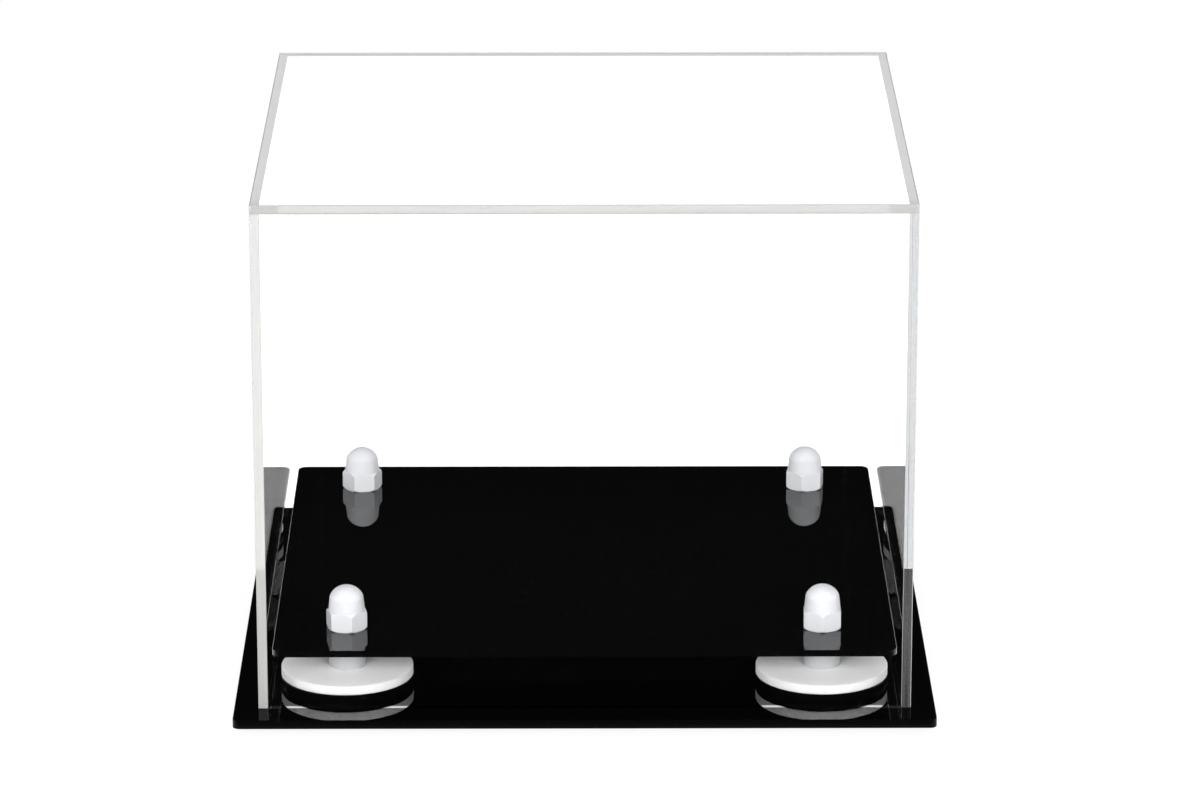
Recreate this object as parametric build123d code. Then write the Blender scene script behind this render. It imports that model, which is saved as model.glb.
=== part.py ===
from build123d import *
from math import atan2, degrees, sqrt
import os

# Display case for a cap: a clear cover lifts off a black base that carries a raised shelf.
# Lengths are millimetres. Front is -Y, +X is right, +Z is up, and the case rests on z = 0.
# The origin is under the middle of the base plate.

# Clear cover
cover_width = 280.0
cover_depth = 262.0
cover_height = 224.0
wall = 4.0

# Base plate, and how far it shows outside the cover
margin_side = 10.5
margin_front = 14.5
margin_back = 10.0
base_thickness = 4.0
base_corner_radius = 3.0

# Raised platform inside the cover
platform_thickness = 3.0
platform_corner_radius = 4.0
platform_gap_side = 2.0
platform_gap_front_back = 1.0

# Riser stack under each corner of the platform
riser_inset_side = 31.0
riser_inset_end = 30.0
disc_diameter = 57.2
black_disc_thickness = 4.0
white_disc_thickness = 4.0
spacer_diameter = 16.0
spacer_height = 13.9

# Screw that clamps each stack, and its cap nut
screw_diameter = 10.0
screw_reach = 11.0
screw_head_diameter = 20.0
screw_head_height = 2.6
slot_width = 2.2
slot_depth = 1.3
screw_hole_clearance = 0.3
thread_clearance = 0.05
nut_across_flats = 16.0
nut_hex_height = 8.2
nut_height = 19.2
nut_neck_diameter = 15.9
nut_dome_diameter = 14.8
nut_dome_rise = 6.2
nut_crown_flattening = 1.2
nut_bore_spare = 2.0
nut_corner_bevel = 1.0
nut_corner_radius = 0.5
nut_turn = {"front_left": -14.0, "front_right": -31.0, "back_left": 9.0, "back_right": 20.0}

# Rubber foot near each corner of the base plate
foot_inset = 20.0
foot_top_diameter = 15.0
foot_bottom_diameter = 13.0
foot_height = 4.0
foot_edge_radius = 0.8

# Softened rims of the cut plastic
plate_edge = 0.15
disc_edge = 0.35

# Levels and places that follow from the sizes above
base_width = cover_width + 2 * margin_side
base_depth = cover_depth + margin_front + margin_back
cover_y = (margin_front - margin_back) / 2
base_top = foot_height + base_thickness
black_disc_top = base_top + black_disc_thickness
white_disc_top = black_disc_top + white_disc_thickness
platform_bottom = white_disc_top + spacer_height
platform_top = platform_bottom + platform_thickness
inner_width = cover_width - 2 * wall
inner_depth = cover_depth - 2 * wall
wall_height = cover_height - wall
platform_width = inner_width - 2 * platform_gap_side
platform_depth = inner_depth - 2 * platform_gap_front_back
riser_x = platform_width / 2 - riser_inset_side
riser_dy = platform_depth / 2 - riser_inset_end
foot_x = base_width / 2 - foot_inset
foot_y = base_depth / 2 - foot_inset
screw_hole_radius = screw_diameter / 2 + screw_hole_clearance

corners = {
    "front_left": (-1, -1),
    "front_right": (1, -1),
    "back_left": (-1, 1),
    "back_right": (1, 1),
}


def riser_place(corner):
    side, end = corners[corner]
    return side * riser_x, cover_y + end * riser_dy


def upright(radius, bottom, top, x=0.0, y=0.0):
    """A cylinder on a vertical axis between two levels."""
    height = top - bottom
    return Pos(x, y, bottom) * Cylinder(radius, height, align=(Align.CENTER, Align.CENTER, Align.MIN))


def riser_holes(bottom, top):
    """The four screw holes, cut right through what lies between two levels."""
    over = 1.0
    holes = []
    for corner in corners:
        x, y = riser_place(corner)
        holes.append(upright(screw_hole_radius, bottom - over, top + over, x, y))
    return holes


def rounded_plate(width, depth, bottom, thickness, corner_radius, y=0.0):
    """A flat sheet with rounded corners and softened rims, drilled for the screws."""
    outline = RectangleRounded(width, depth, corner_radius)
    sheet = Pos(0, y, bottom) * extrude(outline, thickness)
    rims = sheet.edges().group_by(Axis.Z)
    sheet = chamfer(rims[0] + rims[-1], plate_edge)
    for hole in riser_holes(bottom, bottom + thickness):
        sheet -= hole
    return sheet


def make_base_plate():
    return rounded_plate(base_width, base_depth, foot_height, base_thickness, base_corner_radius)


def make_platform():
    return rounded_plate(
        platform_width, platform_depth, platform_bottom, platform_thickness, platform_corner_radius, cover_y
    )


def slab(width, depth, height, x, y, bottom):
    """A square-edged sheet of the cover, standing or lying."""
    corner = (Align.CENTER, Align.CENTER, Align.MIN)
    return Pos(x, y, bottom) * Box(width, depth, height, align=corner)


def make_cover_panels():
    """Side walls run the whole depth, the front and back stand between them, and the top lies on all four."""
    side_x = (cover_width - wall) / 2
    end_y = (cover_depth - wall) / 2
    top_level = base_top + wall_height
    return {
        "cover_left_panel": slab(wall, cover_depth, wall_height, -side_x, cover_y, base_top),
        "cover_right_panel": slab(wall, cover_depth, wall_height, side_x, cover_y, base_top),
        "cover_front_panel": slab(inner_width, wall, wall_height, 0, cover_y - end_y, base_top),
        "cover_back_panel": slab(inner_width, wall, wall_height, 0, cover_y + end_y, base_top),
        "cover_top_panel": slab(cover_width, cover_depth, wall, 0, cover_y, top_level),
    }


def make_disc(corner, bottom, thickness):
    """One flat riser disc with its screw hole."""
    x, y = riser_place(corner)
    disc = upright(disc_diameter / 2, bottom, bottom + thickness, x, y)
    disc = fillet(disc.edges(), disc_edge)
    return disc - upright(screw_hole_radius, bottom - 1, bottom + thickness + 1, x, y)


def make_spacer(corner):
    """The tube that holds the platform above the discs."""
    x, y = riser_place(corner)
    tube = upright(spacer_diameter / 2, white_disc_top, platform_bottom, x, y)
    return tube - upright(screw_hole_radius, white_disc_top - 1, platform_bottom + 1, x, y)


def make_screw(corner):
    """A pan-head screw from under the base plate up into the cap nut."""
    x, y = riser_place(corner)
    head_bottom = foot_height - screw_head_height
    head = upright(screw_head_diameter / 2, head_bottom, foot_height, x, y)
    head = fillet(head.edges().group_by(Axis.Z)[0], screw_head_height / 2)
    shank = upright(screw_diameter / 2, foot_height, platform_top + screw_reach, x, y)
    shank = chamfer(shank.edges().group_by(Axis.Z)[-1], screw_diameter / 8)
    slot = slab(screw_head_diameter, slot_width, slot_depth, x, y, head_bottom)
    return head + shank - slot


def nut_dome():
    """The round top: a tapered neck, a rolled shoulder, and a flatter crown that meets the shoulder smoothly."""
    neck = nut_neck_diameter / 2
    top = nut_dome_diameter / 2
    spring = nut_height - nut_dome_rise
    shoulder_radius = nut_dome_rise - nut_crown_flattening
    shoulder_x = top - shoulder_radius
    crown_drop = shoulder_x**2 / (2 * nut_crown_flattening) - nut_crown_flattening / 2
    crown_radius = nut_dome_rise + crown_drop
    join_angle = degrees(atan2(crown_drop, shoulder_x))
    shoulder = CenterArc((shoulder_x, spring), shoulder_radius, 0, join_angle)
    crown = CenterArc((0, spring - crown_drop), crown_radius, join_angle, 90 - join_angle)
    side = Polyline(crown @ 1, (0, 0), (neck, 0), (neck, nut_hex_height), shoulder @ 0)
    return revolve(Plane.XZ * make_face(side + shoulder + crown), Axis.Z)


def make_cap_nut(corner):
    """A hexagon foot with bevelled corners under a round-topped dome, bored blind from below."""
    x, y = riser_place(corner)
    hexagon = RegularPolygon(nut_across_flats / 2, 6, major_radius=False, rotation=nut_turn[corner])
    hexagon = fillet(hexagon.vertices(), nut_corner_radius)
    foot = extrude(hexagon, nut_hex_height)
    turned = upright(nut_across_flats / sqrt(3), 0, nut_hex_height)
    turned = chamfer(turned.edges(), nut_corner_bevel)
    bore = upright(screw_diameter / 2 + thread_clearance, -1, screw_reach + nut_bore_spare)
    return Pos(x, y, platform_top) * ((foot & turned) + nut_dome() - bore)


def make_foot(corner):
    """A tapered rubber foot stuck under the base plate."""
    side, end = corners[corner]
    taper = Cone(
        foot_bottom_diameter / 2, foot_top_diameter / 2, foot_height, align=(Align.CENTER, Align.CENTER, Align.MIN)
    )
    taper = fillet(taper.edges().group_by(Axis.Z)[0], foot_edge_radius)
    return Pos(side * foot_x, end * foot_y, 0) * taper


def make_parts():
    parts = {"base_plate": make_base_plate(), "platform": make_platform()}
    parts.update(make_cover_panels())
    for corner in corners:
        parts[corner + "_black_disc"] = make_disc(corner, base_top, black_disc_thickness)
        parts[corner + "_white_disc"] = make_disc(corner, black_disc_top, white_disc_thickness)
        parts[corner + "_spacer"] = make_spacer(corner)
        parts[corner + "_screw"] = make_screw(corner)
        parts[corner + "_cap_nut"] = make_cap_nut(corner)
        parts[corner + "_rubber_foot"] = make_foot(corner)
    return parts


os.makedirs("parts", exist_ok=True)
for node, solid in make_parts().items():
    export_step(solid, f"parts/{node}.step")
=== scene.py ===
import math

import bmesh
import bpy
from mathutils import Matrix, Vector


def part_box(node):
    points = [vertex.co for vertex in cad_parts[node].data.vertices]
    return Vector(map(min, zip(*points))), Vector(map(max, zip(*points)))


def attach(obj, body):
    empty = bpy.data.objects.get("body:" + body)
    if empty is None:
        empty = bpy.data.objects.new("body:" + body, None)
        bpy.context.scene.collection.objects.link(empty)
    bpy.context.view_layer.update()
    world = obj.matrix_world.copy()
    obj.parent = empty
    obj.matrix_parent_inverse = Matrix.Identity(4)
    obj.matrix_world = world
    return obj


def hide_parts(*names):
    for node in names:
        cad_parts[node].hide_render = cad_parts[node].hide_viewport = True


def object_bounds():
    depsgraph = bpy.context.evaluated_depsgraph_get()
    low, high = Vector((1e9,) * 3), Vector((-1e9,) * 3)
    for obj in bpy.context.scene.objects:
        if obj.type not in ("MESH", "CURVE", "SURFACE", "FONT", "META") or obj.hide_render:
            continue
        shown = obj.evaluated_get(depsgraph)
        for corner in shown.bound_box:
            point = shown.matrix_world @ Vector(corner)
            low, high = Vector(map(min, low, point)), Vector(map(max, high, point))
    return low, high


# A clear lift-off cover over a black base with a raised platform. Lengths are metres.
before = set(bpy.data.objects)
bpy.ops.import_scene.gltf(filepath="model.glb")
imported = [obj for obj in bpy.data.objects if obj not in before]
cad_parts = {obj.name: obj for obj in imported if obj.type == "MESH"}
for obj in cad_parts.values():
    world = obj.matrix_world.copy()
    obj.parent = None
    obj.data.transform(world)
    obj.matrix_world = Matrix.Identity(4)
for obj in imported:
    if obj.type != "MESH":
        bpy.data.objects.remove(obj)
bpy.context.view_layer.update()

CORNERS = ("front_left", "front_right", "back_left", "back_right")

# Colours
WHITE = (1.0, 1.0, 1.0, 1)
BLACK_ACRYLIC = (0.0016, 0.0016, 0.0018, 1)
WHITE_ACRYLIC = (0.97, 0.98, 1.0, 1)
NYLON = (0.71, 0.72, 0.74, 1)
# The spacers' nylon is the white nylon made darker: painted shade for the spacers under the
# platform.
SHADED_SPACER_NYLON = (0.5, 0.51, 0.52, 1)
RUBBER = (0.02, 0.02, 0.02, 1)
SATIN_EDGE = (0.38, 0.38, 0.37, 1)
# The top sheet's front edge: the satin edge in a darker colour, as painted shade.
TOP_EDGE_PAINTED_SHADE = (0.33, 0.33, 0.32, 1)
POLISHED_EDGE = (0.5, 0.51, 0.52, 1)
# A dark grey on the clear part of the right wall's front edge: painted shade, the acrylic itself
# being clear.
POLISHED_EDGE_PAINTED_SHADE = (0.22, 0.23, 0.24, 1)
CLEAR_TINT = WHITE
PANE = (0.97, 0.97, 0.97, 1)
JOINT = (0.7, 0.7, 0.69, 1)
FLOOR = (0.9, 0.9, 0.9, 1)

# Surfaces. Each variation is a noise scale with its lowest and highest value.
ACRYLIC_IOR = 1.49
NYLON_IOR = 1.53
NOISE_DETAIL = 3.0
BLACK_ROUGHNESS = (30, 0.002, 0.014)
WHITE_ROUGHNESS = (40, 0.1, 0.2)
NYLON_ROUGHNESS = (400, 0.3, 0.42)
RUBBER_GRAIN = (900, 0, 1)
JOINT_COVER = (60, 0.72, 0.95)
SCATTER_RADIUS = (1.0, 1.0, 1.0)
WHITE_SCATTER = (1.0, 0.003)
NYLON_SCATTER = (0.6, 0.0015)
WHITE_SHEEN = (1.0, 0.7)
RUBBER_ROUGHNESS = 0.7
RUBBER_BUMP = 0.2
RUBBER_GRAIN_HEIGHT = 0.0002

# Cut edges: how much of each scatters, and the fine streaks along it
SATIN_FROST = 0.86
POLISHED_FROST = 0.1
FROST_VARIATION = 0.05
EDGE_IN_MIRRORS = 0.25
STREAKS_ALONG_X = (25, 900, 900)
STREAKS_ALONG_Z = (900, 900, 25)
STREAK_DETAIL = 4.0
STREAK_SPREAD = (0.3, 0.7)

# Camera, solved from the edges of the cover and base
CAMERA_PLACE = (-0.0048, -2.3939, 0.8644)
CAMERA_PITCH = math.radians(17.582)
CAMERA_YAW = math.radians(-0.287)
CAMERA_REACH = 50
FOCAL_PIXELS = 5633.6
PHOTO_WIDTH = 1200.0
SENSOR = 36.0

# Stage: the floor, the light all round, and where the white sweep ends in reflections
FLOOR_SIZE = 12.0
WORLD_LIGHT = 0.45
STUDIO_DARK = 0.004
FLOOR_GLOW = 0.8
BACKDROP_WHITE = 1.1
WHITE_THROUGH_SHEETS = 1.6
SWEEP_TOP = (math.radians(16.5), math.radians(17.8))
SWEEP_FRONT = (-0.16, -0.1)
CLEAR_BOUNCES = 40
ANY_BOUNCE = 0.5

# Lamps: place, target, size and power
LAMPS = {
    "front_left": ((-1.0, -2.2, 0.82), (0, 0, 0.04), (1.2, 0.95), 42),
    "front_right": ((1.0, -2.2, 0.82), (0, 0, 0.04), (1.2, 0.95), 42),
    "top": ((0.0, 0.2, 2.2), (0, 0, 0.1), (1.8, 1.6), 6),
}

# The cover's softened edges, its cement joints, and the air under its open rim
COVER_EDGE = 0.0003
JOINT_THICKNESS = 0.00004
RIM_GAP = 0.00008
SAME_PLACE = COVER_EDGE / 10
SQUARE_TO_AXIS = 0.999
CLEAR, SATIN, POLISHED, TOP_SATIN = range(4)


def new_material(name):
    """An empty node material, with its tree and its output."""
    material = bpy.data.materials.new(name)
    material.use_nodes = True
    tree = material.node_tree
    tree.nodes.clear()
    output = tree.nodes.new("ShaderNodeOutputMaterial")
    return material, tree, output


def node(tree, kind, **values):
    """A node with its sockets set by name, spaces written as underscores."""
    made = tree.nodes.new(kind)
    for key, value in values.items():
        made.inputs[key.replace("_", " ")].default_value = value
    return made


def blend_shaders(tree, share, first, second):
    """A mix of two shaders. The share of the second one comes from a socket."""
    mix = tree.nodes.new("ShaderNodeMixShader")
    tree.links.new(share, mix.inputs["Fac"])
    tree.links.new(first, mix.inputs[1])
    tree.links.new(second, mix.inputs[2])
    return mix.outputs[0]


def combine(tree, operation, first, second):
    """What an operation makes of two sockets."""
    maths = tree.nodes.new("ShaderNodeMath")
    maths.operation = operation
    tree.links.new(first, maths.inputs[0])
    tree.links.new(second, maths.inputs[1])
    return maths.outputs[0]


def above(tree, value, limit):
    """1 where a value is over a limit."""
    test = tree.nodes.new("ShaderNodeMath")
    test.operation = "GREATER_THAN"
    test.inputs[1].default_value = limit
    tree.links.new(value, test.inputs[0])
    return test.outputs[0]


def choose(tree, switch, off, on):
    """One of two numbers, or a blend of them. Each may be a plain number or a socket."""
    mix = tree.nodes.new("ShaderNodeMix")
    tree.links.new(switch, mix.inputs["Factor"])
    for name, value in (("A", off), ("B", on)):
        if isinstance(value, float):
            mix.inputs[name].default_value = value
        else:
            tree.links.new(value, mix.inputs[name])
    return mix.outputs["Result"]


def ramp(tree, value, start, end, low, high):
    """A number that goes from low to high as a value goes from start to end."""
    spread = node(tree, "ShaderNodeMapRange", From_Min=start, From_Max=end, To_Min=low, To_Max=high)
    tree.links.new(value, spread.inputs["Value"])
    return spread.outputs["Result"]


def noise_ramp(tree, variation):
    """Slow variation between two values across the object's own space."""
    scale, low, high = variation
    place = tree.nodes.new("ShaderNodeTexCoord")
    noise = node(tree, "ShaderNodeTexNoise", Scale=scale, Detail=NOISE_DETAIL)
    tree.links.new(place.outputs["Object"], noise.inputs["Vector"])
    return ramp(tree, noise.outputs["Fac"], 0.0, 1.0, low, high)


def is_seen(tree):
    """1 for the rays that show a thing: straight, in a mirror or through clear plastic."""
    path = tree.nodes.new("ShaderNodeLightPath")
    direct = combine(tree, "MAXIMUM", path.outputs["Is Camera Ray"], path.outputs["Is Glossy Ray"])
    return combine(tree, "MAXIMUM", direct, path.outputs["Is Transmission Ray"])


def is_mirrored(tree):
    """1 once a ray has met a mirror-like surface."""
    path = tree.nodes.new("ShaderNodeLightPath")
    return above(tree, path.outputs["Glossy Depth"], ANY_BOUNCE)


def plastic(name, colour, roughness=None, **values):
    """A material of one shader, with its tree and the shader. Roughness can take a variation."""
    material, tree, output = new_material(name)
    shader = node(tree, "ShaderNodeBsdfPrincipled", Base_Color=colour, **values)
    if roughness:
        tree.links.new(noise_ramp(tree, roughness), shader.inputs["Roughness"])
    tree.links.new(shader.outputs[0], output.inputs["Surface"])
    return material, tree, shader


def scattering(weight_and_scale):
    """The socket values of light that spreads inside a white plastic."""
    weight, scale = weight_and_scale
    return {
        "Subsurface_Weight": weight,
        "Subsurface_Radius": SCATTER_RADIUS,
        "Subsurface_Scale": scale,
    }


def black_acrylic():
    return plastic("black_acrylic", BLACK_ACRYLIC, BLACK_ROUGHNESS, IOR=ACRYLIC_IOR)[0]


def white_acrylic():
    """Bright at low angles too: a white disc in the shade of the platform still looks white."""
    weight, roughness = WHITE_SHEEN
    values = {"IOR": ACRYLIC_IOR, "Sheen_Weight": weight, "Sheen_Roughness": roughness}
    values.update(scattering(WHITE_SCATTER))
    return plastic("white_acrylic", WHITE_ACRYLIC, WHITE_ROUGHNESS, **values)[0]


def white_nylon(name, colour):
    inside = scattering(NYLON_SCATTER)
    return plastic(name, colour, NYLON_ROUGHNESS, IOR=NYLON_IOR, **inside)[0]


def foot_rubber():
    material, tree, shader = plastic("foot_rubber", RUBBER, Roughness=RUBBER_ROUGHNESS)
    bump = node(tree, "ShaderNodeBump", Strength=RUBBER_BUMP, Distance=RUBBER_GRAIN_HEIGHT)
    tree.links.new(noise_ramp(tree, RUBBER_GRAIN), bump.inputs["Height"])
    tree.links.new(bump.outputs[0], shader.inputs["Normal"])
    return material


def clear_shader(tree, tint_and_painted_shade):
    """Real refraction for what is seen, and a plain pane for the lamps' shadow rays."""
    # The glass takes the given colour: white where it is clear, and a dark grey as painted shade on
    # the right wall's front edge.
    glass = node(
        tree,
        "ShaderNodeBsdfPrincipled",
        Base_Color=tint_and_painted_shade,
        Roughness=0.0,
        IOR=ACRYLIC_IOR,
        Transmission_Weight=1.0,
    )
    pane = node(tree, "ShaderNodeBsdfTransparent", Color=PANE)
    path = tree.nodes.new("ShaderNodeLightPath")
    shadow, diffuse = path.outputs["Is Shadow Ray"], path.outputs["Is Diffuse Ray"]
    soft_light = combine(tree, "MAXIMUM", shadow, diffuse)
    return blend_shaders(tree, soft_light, glass.outputs[0], pane.outputs[0])


def clear_acrylic():
    material, tree, output = new_material("clear_acrylic")
    tree.links.new(clear_shader(tree, CLEAR_TINT), output.inputs["Surface"])
    return material


def cut_edge(name, frost, colour, grain, tint_and_painted_shade=CLEAR_TINT):
    """A sheet's cut end. Part of it scatters, in fine streaks along the cut. The rest is clear, and
    takes a dark grey as painted shade where one is given.
    """
    material, tree, output = new_material(name)
    scatter = node(tree, "ShaderNodeBsdfDiffuse", Color=colour)
    place = tree.nodes.new("ShaderNodeTexCoord")
    stretch = node(tree, "ShaderNodeMapping", Scale=grain)
    streaks = node(tree, "ShaderNodeTexNoise", Scale=1.0, Detail=STREAK_DETAIL)
    tree.links.new(place.outputs["Object"], stretch.inputs["Vector"])
    tree.links.new(stretch.outputs[0], streaks.inputs["Vector"])
    least, most = frost - FROST_VARIATION, frost + FROST_VARIATION
    frosted = ramp(tree, streaks.outputs["Fac"], *STREAK_SPREAD, least, most)
    in_mirrors = choose(tree, is_mirrored(tree), 1.0, EDGE_IN_MIRRORS)
    share = combine(tree, "MULTIPLY", frosted, in_mirrors)
    surface = blend_shaders(tree, share, clear_shader(tree, tint_and_painted_shade), scatter.outputs[0])
    tree.links.new(surface, output.inputs["Surface"])
    return material


def cement_joint():
    """The thin film between two sheets, which is what shows of a joint inside the clear plastic."""
    material, tree, output = new_material("cement_joint")
    cement = node(tree, "ShaderNodeBsdfDiffuse", Color=JOINT)
    gaps = tree.nodes.new("ShaderNodeBsdfTransparent")
    surface = blend_shaders(tree, noise_ramp(tree, JOINT_COVER), gaps.outputs[0], cement.outputs[0])
    tree.links.new(surface, output.inputs["Surface"])
    return material


def assign(tails, material, starts=CORNERS):
    """One material on the frame's nodes that are named by each start with each tail."""
    for name in [start + tail for start in starts for tail in tails]:
        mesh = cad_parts[name].data
        mesh.materials.clear()
        mesh.materials.append(material)
        for face in mesh.polygons:
            face.material_index = 0


def dress_cad():
    black = black_acrylic()
    assign([""], black, starts=["base_plate", "platform"])
    assign(["_black_disc"], black)
    assign(["_white_disc"], white_acrylic())
    assign(["_screw", "_cap_nut"], white_nylon("white_nylon", NYLON))
    # The spacers take the darker copy of the white nylon, as painted shade under the platform.
    assign(["_spacer"], white_nylon("spacer_nylon_painted_shade", SHADED_SPACER_NYLON))
    assign(["_rubber_foot"], foot_rubber())


def cover_levels():
    """The cover's outer and inner faces: four places across, four in depth and three up."""
    top_low, top_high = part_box("cover_top_panel")
    left_low, left_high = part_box("cover_left_panel")
    right_low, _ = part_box("cover_right_panel")
    _, front_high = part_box("cover_front_panel")
    back_low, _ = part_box("cover_back_panel")
    across = (top_low[0], left_high[0], right_low[0], top_high[0])
    deep = (top_low[1], front_high[1], back_low[1], top_high[1])
    up = (left_low[2] + RIM_GAP, top_low[2], top_high[2])
    return across, deep, up


def edge_finish(cell, axis, step):
    """The finish of an outer face. The front ends of the top and side sheets are cut edges, and
    those of the top and right sheets are also darker as painted shade.
    """
    facing_front = axis == 1 and step < 0
    if facing_front and cell[2] == 1:
        return TOP_SATIN
    if facing_front and cell[0] == 0:
        return SATIN
    if facing_front and cell[0] == 2:
        return POLISHED
    return CLEAR


def solid_cell(cell):
    """The walls and top are every cell of a 3 by 3 by 2 grid but the hollow in its lower layer."""
    inside = 0 <= cell[0] <= 2 and 0 <= cell[1] <= 2 and 0 <= cell[2] <= 1
    return inside and cell != (1, 1, 0)


def is_outer_edge(edge, levels):
    """True where two outer faces of the cover meet at a right angle. Its open rim stays sharp."""

    def lies_at(axis, limit):
        return all(abs(vert.co[axis] - limit) < SAME_PLACE for vert in edge.verts)

    if lies_at(2, levels[2][0]):
        return False
    outer = [(axis, limit) for axis in range(3) for limit in (levels[axis][0], levels[axis][-1])]
    return sum(lies_at(axis, limit) for axis, limit in outer) == 2


def soften_front_edges(shape, levels):
    """The bevels scatter too, so they show as thin light lines. Those at the back stay clear."""
    back = levels[1][-1] - COVER_EDGE
    bottom = levels[2][0] + COVER_EDGE
    for face in shape.faces:
        slanted = max(abs(part) for part in face.normal) < SQUARE_TO_AXIS
        middle = face.calc_center_median()
        if slanted and middle.y < back and middle.z > bottom:
            face.material_index = SATIN


def add_to_scene(name, shape, materials):
    """An object from a finished bmesh, with its materials in order."""
    mesh = bpy.data.meshes.new(name)
    shape.to_mesh(mesh)
    shape.free()
    made = bpy.data.objects.new(name, mesh)
    bpy.context.collection.objects.link(made)
    for material in materials:
        mesh.materials.append(material)
    return made


def make_cover():
    """The cemented cover as one clear solid, with its own finish on each cut end."""
    levels = cover_levels()
    shape = bmesh.new()
    corners = {}

    def corner(index):
        if index not in corners:
            corners[index] = shape.verts.new([levels[axis][index[axis]] for axis in range(3)])
        return corners[index]

    def wall(cell, axis, step):
        first, second = [other for other in range(3) if other != axis]
        ring = []
        for one, two in ((0, 0), (1, 0), (1, 1), (0, 1)):
            index = list(cell)
            index[axis] += max(step, 0)
            index[first] += one
            index[second] += two
            ring.append(corner(tuple(index)))
        face = shape.faces.new(ring)
        face.material_index = edge_finish(cell, axis, step)

    for cell in [(x, y, z) for x in range(3) for y in range(3) for z in range(2)]:
        for axis, step in [(axis, step) for axis in range(3) for step in (-1, 1)]:
            beside = tuple(place + step * (axis == at) for at, place in enumerate(cell))
            if solid_cell(cell) and not solid_cell(beside):
                wall(cell, axis, step)
    bmesh.ops.recalc_face_normals(shape, faces=shape.faces)
    bmesh.ops.bevel(
        shape,
        geom=[edge for edge in shape.edges if is_outer_edge(edge, levels)],
        offset=COVER_EDGE,
        segments=2,
        profile=0.5,
        affect="EDGES",
        material=CLEAR,
    )
    soften_front_edges(shape, levels)
    satin = cut_edge("satin_edge", SATIN_FROST, SATIN_EDGE, STREAKS_ALONG_Z)
    # The right wall's cut end scatters little, and its clear part is dark grey as painted shade.
    polished = cut_edge(
        "polished_edge_painted_shade", POLISHED_FROST, POLISHED_EDGE, STREAKS_ALONG_Z, POLISHED_EDGE_PAINTED_SHADE
    )
    # The top sheet's cut end has the same satin finish, in the darker colour that paints its shade.
    top_satin = cut_edge("top_satin_edge_painted_shade", SATIN_FROST, TOP_EDGE_PAINTED_SHADE, STREAKS_ALONG_X)
    cover = add_to_scene("clear_cover", shape, (clear_acrylic(), satin, polished, top_satin))
    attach(cover, "cover")
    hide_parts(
        "cover_front_panel",
        "cover_back_panel",
        "cover_left_panel",
        "cover_right_panel",
        "cover_top_panel",
    )


def make_joints():
    """The cement films: a ring under the top sheet, and one at each end of the front sheet."""
    (x0, x1, x2, x3), (y0, y1, y2, y3), (bottom, ceiling, _) = cover_levels()
    thin = JOINT_THICKNESS / 2
    edge = COVER_EDGE
    films = [
        ((x0 + edge, y0 + edge, ceiling - thin), (x1, y3 - edge, ceiling + thin)),
        ((x2, y0 + edge, ceiling - thin), (x3 - edge, y3 - edge, ceiling + thin)),
        ((x1, y0 + edge, ceiling - thin), (x2, y1, ceiling + thin)),
        ((x1, y2, ceiling - thin), (x2, y3 - edge, ceiling + thin)),
        ((x1 - thin, y0 + edge, bottom + edge), (x1 + thin, y1 - edge, ceiling - edge)),
        ((x2 - thin, y0 + edge, bottom + edge), (x2 + thin, y1 - edge, ceiling - edge)),
    ]
    shape = bmesh.new()
    for low, high in films:
        for vert in bmesh.ops.create_cube(shape, size=1.0)["verts"]:
            vert.co = [high[axis] if vert.co[axis] > 0 else low[axis] for axis in range(3)]
    joints = add_to_scene("cement_joints", shape, [cement_joint()])
    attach(joints, "cover")


def backdrop_white(tree, in_mirrors):
    """White to the eye, brighter through the clear sheets, and dimmed by a share in mirrors."""
    path = tree.nodes.new("ShaderNodeLightPath")
    through = above(tree, path.outputs["Transmission Depth"], ANY_BOUNCE)
    white = choose(tree, through, BACKDROP_WHITE, WHITE_THROUGH_SHEETS)
    left = choose(tree, is_mirrored(tree), 1.0, in_mirrors)
    return combine(tree, "MULTIPLY", white, left)


def make_world():
    """A white sweep that ends a little above the horizon. Mirrors see the dim studio over it."""
    world = bpy.data.worlds.new("studio")
    bpy.context.scene.world = world
    world.use_nodes = True
    tree = world.node_tree
    tree.nodes.clear()
    output = tree.nodes.new("ShaderNodeOutputWorld")
    lit = node(tree, "ShaderNodeBackground", Color=WHITE, Strength=WORLD_LIGHT)
    seen = node(tree, "ShaderNodeBackground", Color=WHITE)
    place = tree.nodes.new("ShaderNodeTexCoord")
    split = tree.nodes.new("ShaderNodeSeparateXYZ")
    tree.links.new(place.outputs["Generated"], split.inputs[0])
    start, end = (math.sin(angle) for angle in SWEEP_TOP)
    in_mirrors = ramp(tree, split.outputs["Z"], start, end, 1.0, STUDIO_DARK)
    tree.links.new(backdrop_white(tree, in_mirrors), seen.inputs["Strength"])
    surface = blend_shaders(tree, is_seen(tree), lit.outputs[0], seen.outputs[0])
    tree.links.new(surface, output.inputs["Surface"])


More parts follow.
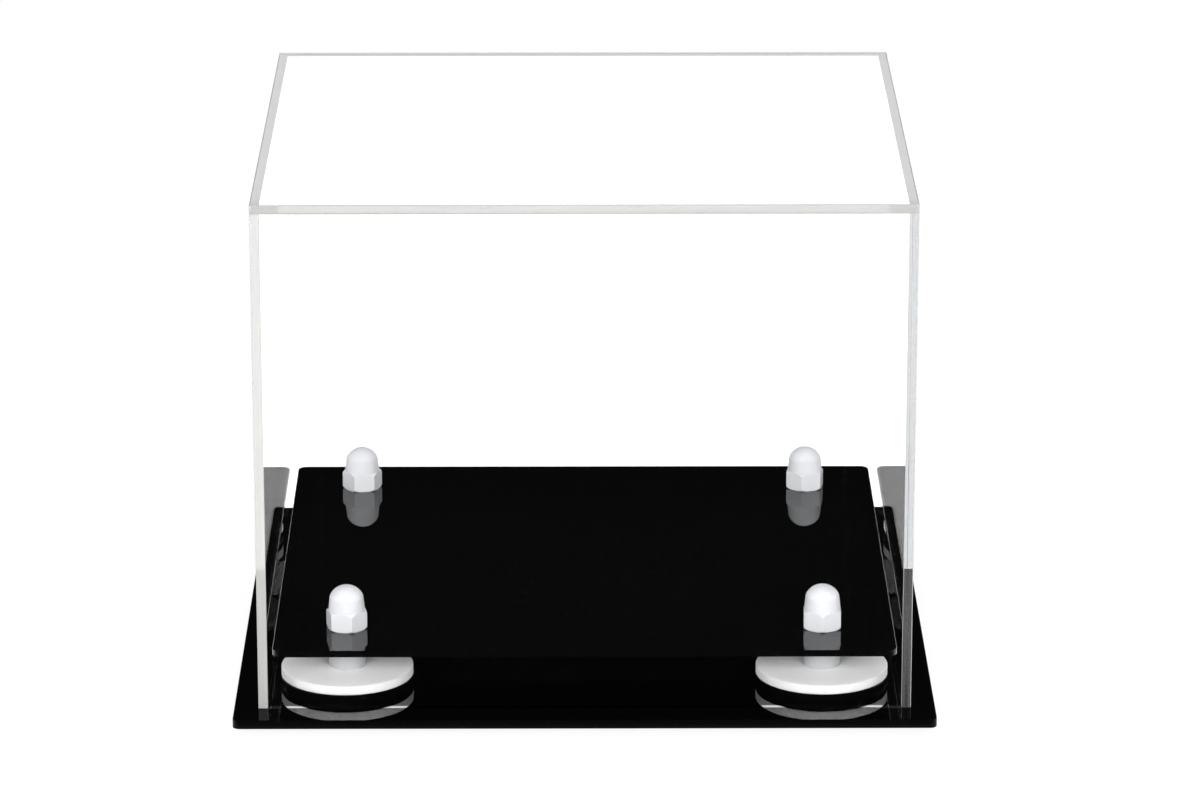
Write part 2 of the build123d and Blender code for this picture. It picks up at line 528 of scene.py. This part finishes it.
def make_floor():
    """A wide pale floor that takes a soft shadow. Mirrors see it dim in front of the case."""
    low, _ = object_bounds()
    bpy.ops.mesh.primitive_plane_add(size=FLOOR_SIZE, location=(0, 0, low[2]))
    floor = bpy.context.object
    floor.name = "floor"
    material, tree, output = new_material("pale_floor")
    matte = node(tree, "ShaderNodeBsdfDiffuse", Color=FLOOR)
    glow = node(tree, "ShaderNodeEmission", Color=WHITE)
    place = tree.nodes.new("ShaderNodeNewGeometry")
    split = tree.nodes.new("ShaderNodeSeparateXYZ")
    tree.links.new(place.outputs["Position"], split.inputs[0])
    in_mirrors = ramp(tree, split.outputs["Y"], *SWEEP_FRONT, STUDIO_DARK, 1.0)
    tree.links.new(backdrop_white(tree, in_mirrors), glow.inputs["Strength"])
    glowing = choose(tree, is_mirrored(tree), FLOOR_GLOW, 1.0)
    shaded = blend_shaders(tree, glowing, matte.outputs[0], glow.outputs[0])
    surface = blend_shaders(tree, is_seen(tree), matte.outputs[0], shaded)
    tree.links.new(surface, output.inputs["Surface"])
    floor.data.materials.append(material)


def area_light(name, place, target, size, power):
    """A soft lamp that lights surfaces but doesn't show in mirrors or through the sheets."""
    lamp = bpy.data.lights.new(name, "AREA")
    lamp.shape = "RECTANGLE"
    lamp.size, lamp.size_y = size
    lamp.energy = power
    holder = bpy.data.objects.new(name, lamp)
    bpy.context.collection.objects.link(holder)
    holder.location = place
    aim = Vector(target) - Vector(place)
    holder.rotation_euler = aim.to_track_quat("-Z", "Y").to_euler()
    holder.visible_glossy = False
    holder.visible_transmission = False


def make_camera():
    lens = bpy.data.cameras.new("camera")
    lens.sensor_width = SENSOR
    lens.sensor_fit = "HORIZONTAL"
    lens.lens = FOCAL_PIXELS / PHOTO_WIDTH * SENSOR
    lens.clip_end = CAMERA_REACH
    camera = bpy.data.objects.new("camera", lens)
    bpy.context.collection.objects.link(camera)
    camera.location = CAMERA_PLACE
    camera.rotation_euler = (math.pi / 2 - CAMERA_PITCH, 0, CAMERA_YAW)
    bpy.context.scene.camera = camera


dress_cad()
make_cover()
make_joints()
make_world()
make_floor()
for lamp_name, setting in LAMPS.items():
    area_light(lamp_name, *setting)
make_camera()
scene = bpy.context.scene
scene.view_settings.view_transform = "Standard"
scene.cycles.max_bounces = CLEAR_BOUNCES
scene.cycles.transmission_bounces = CLEAR_BOUNCES
scene.cycles.glossy_bounces = CLEAR_BOUNCES
scene.cycles.transparent_max_bounces = CLEAR_BOUNCES
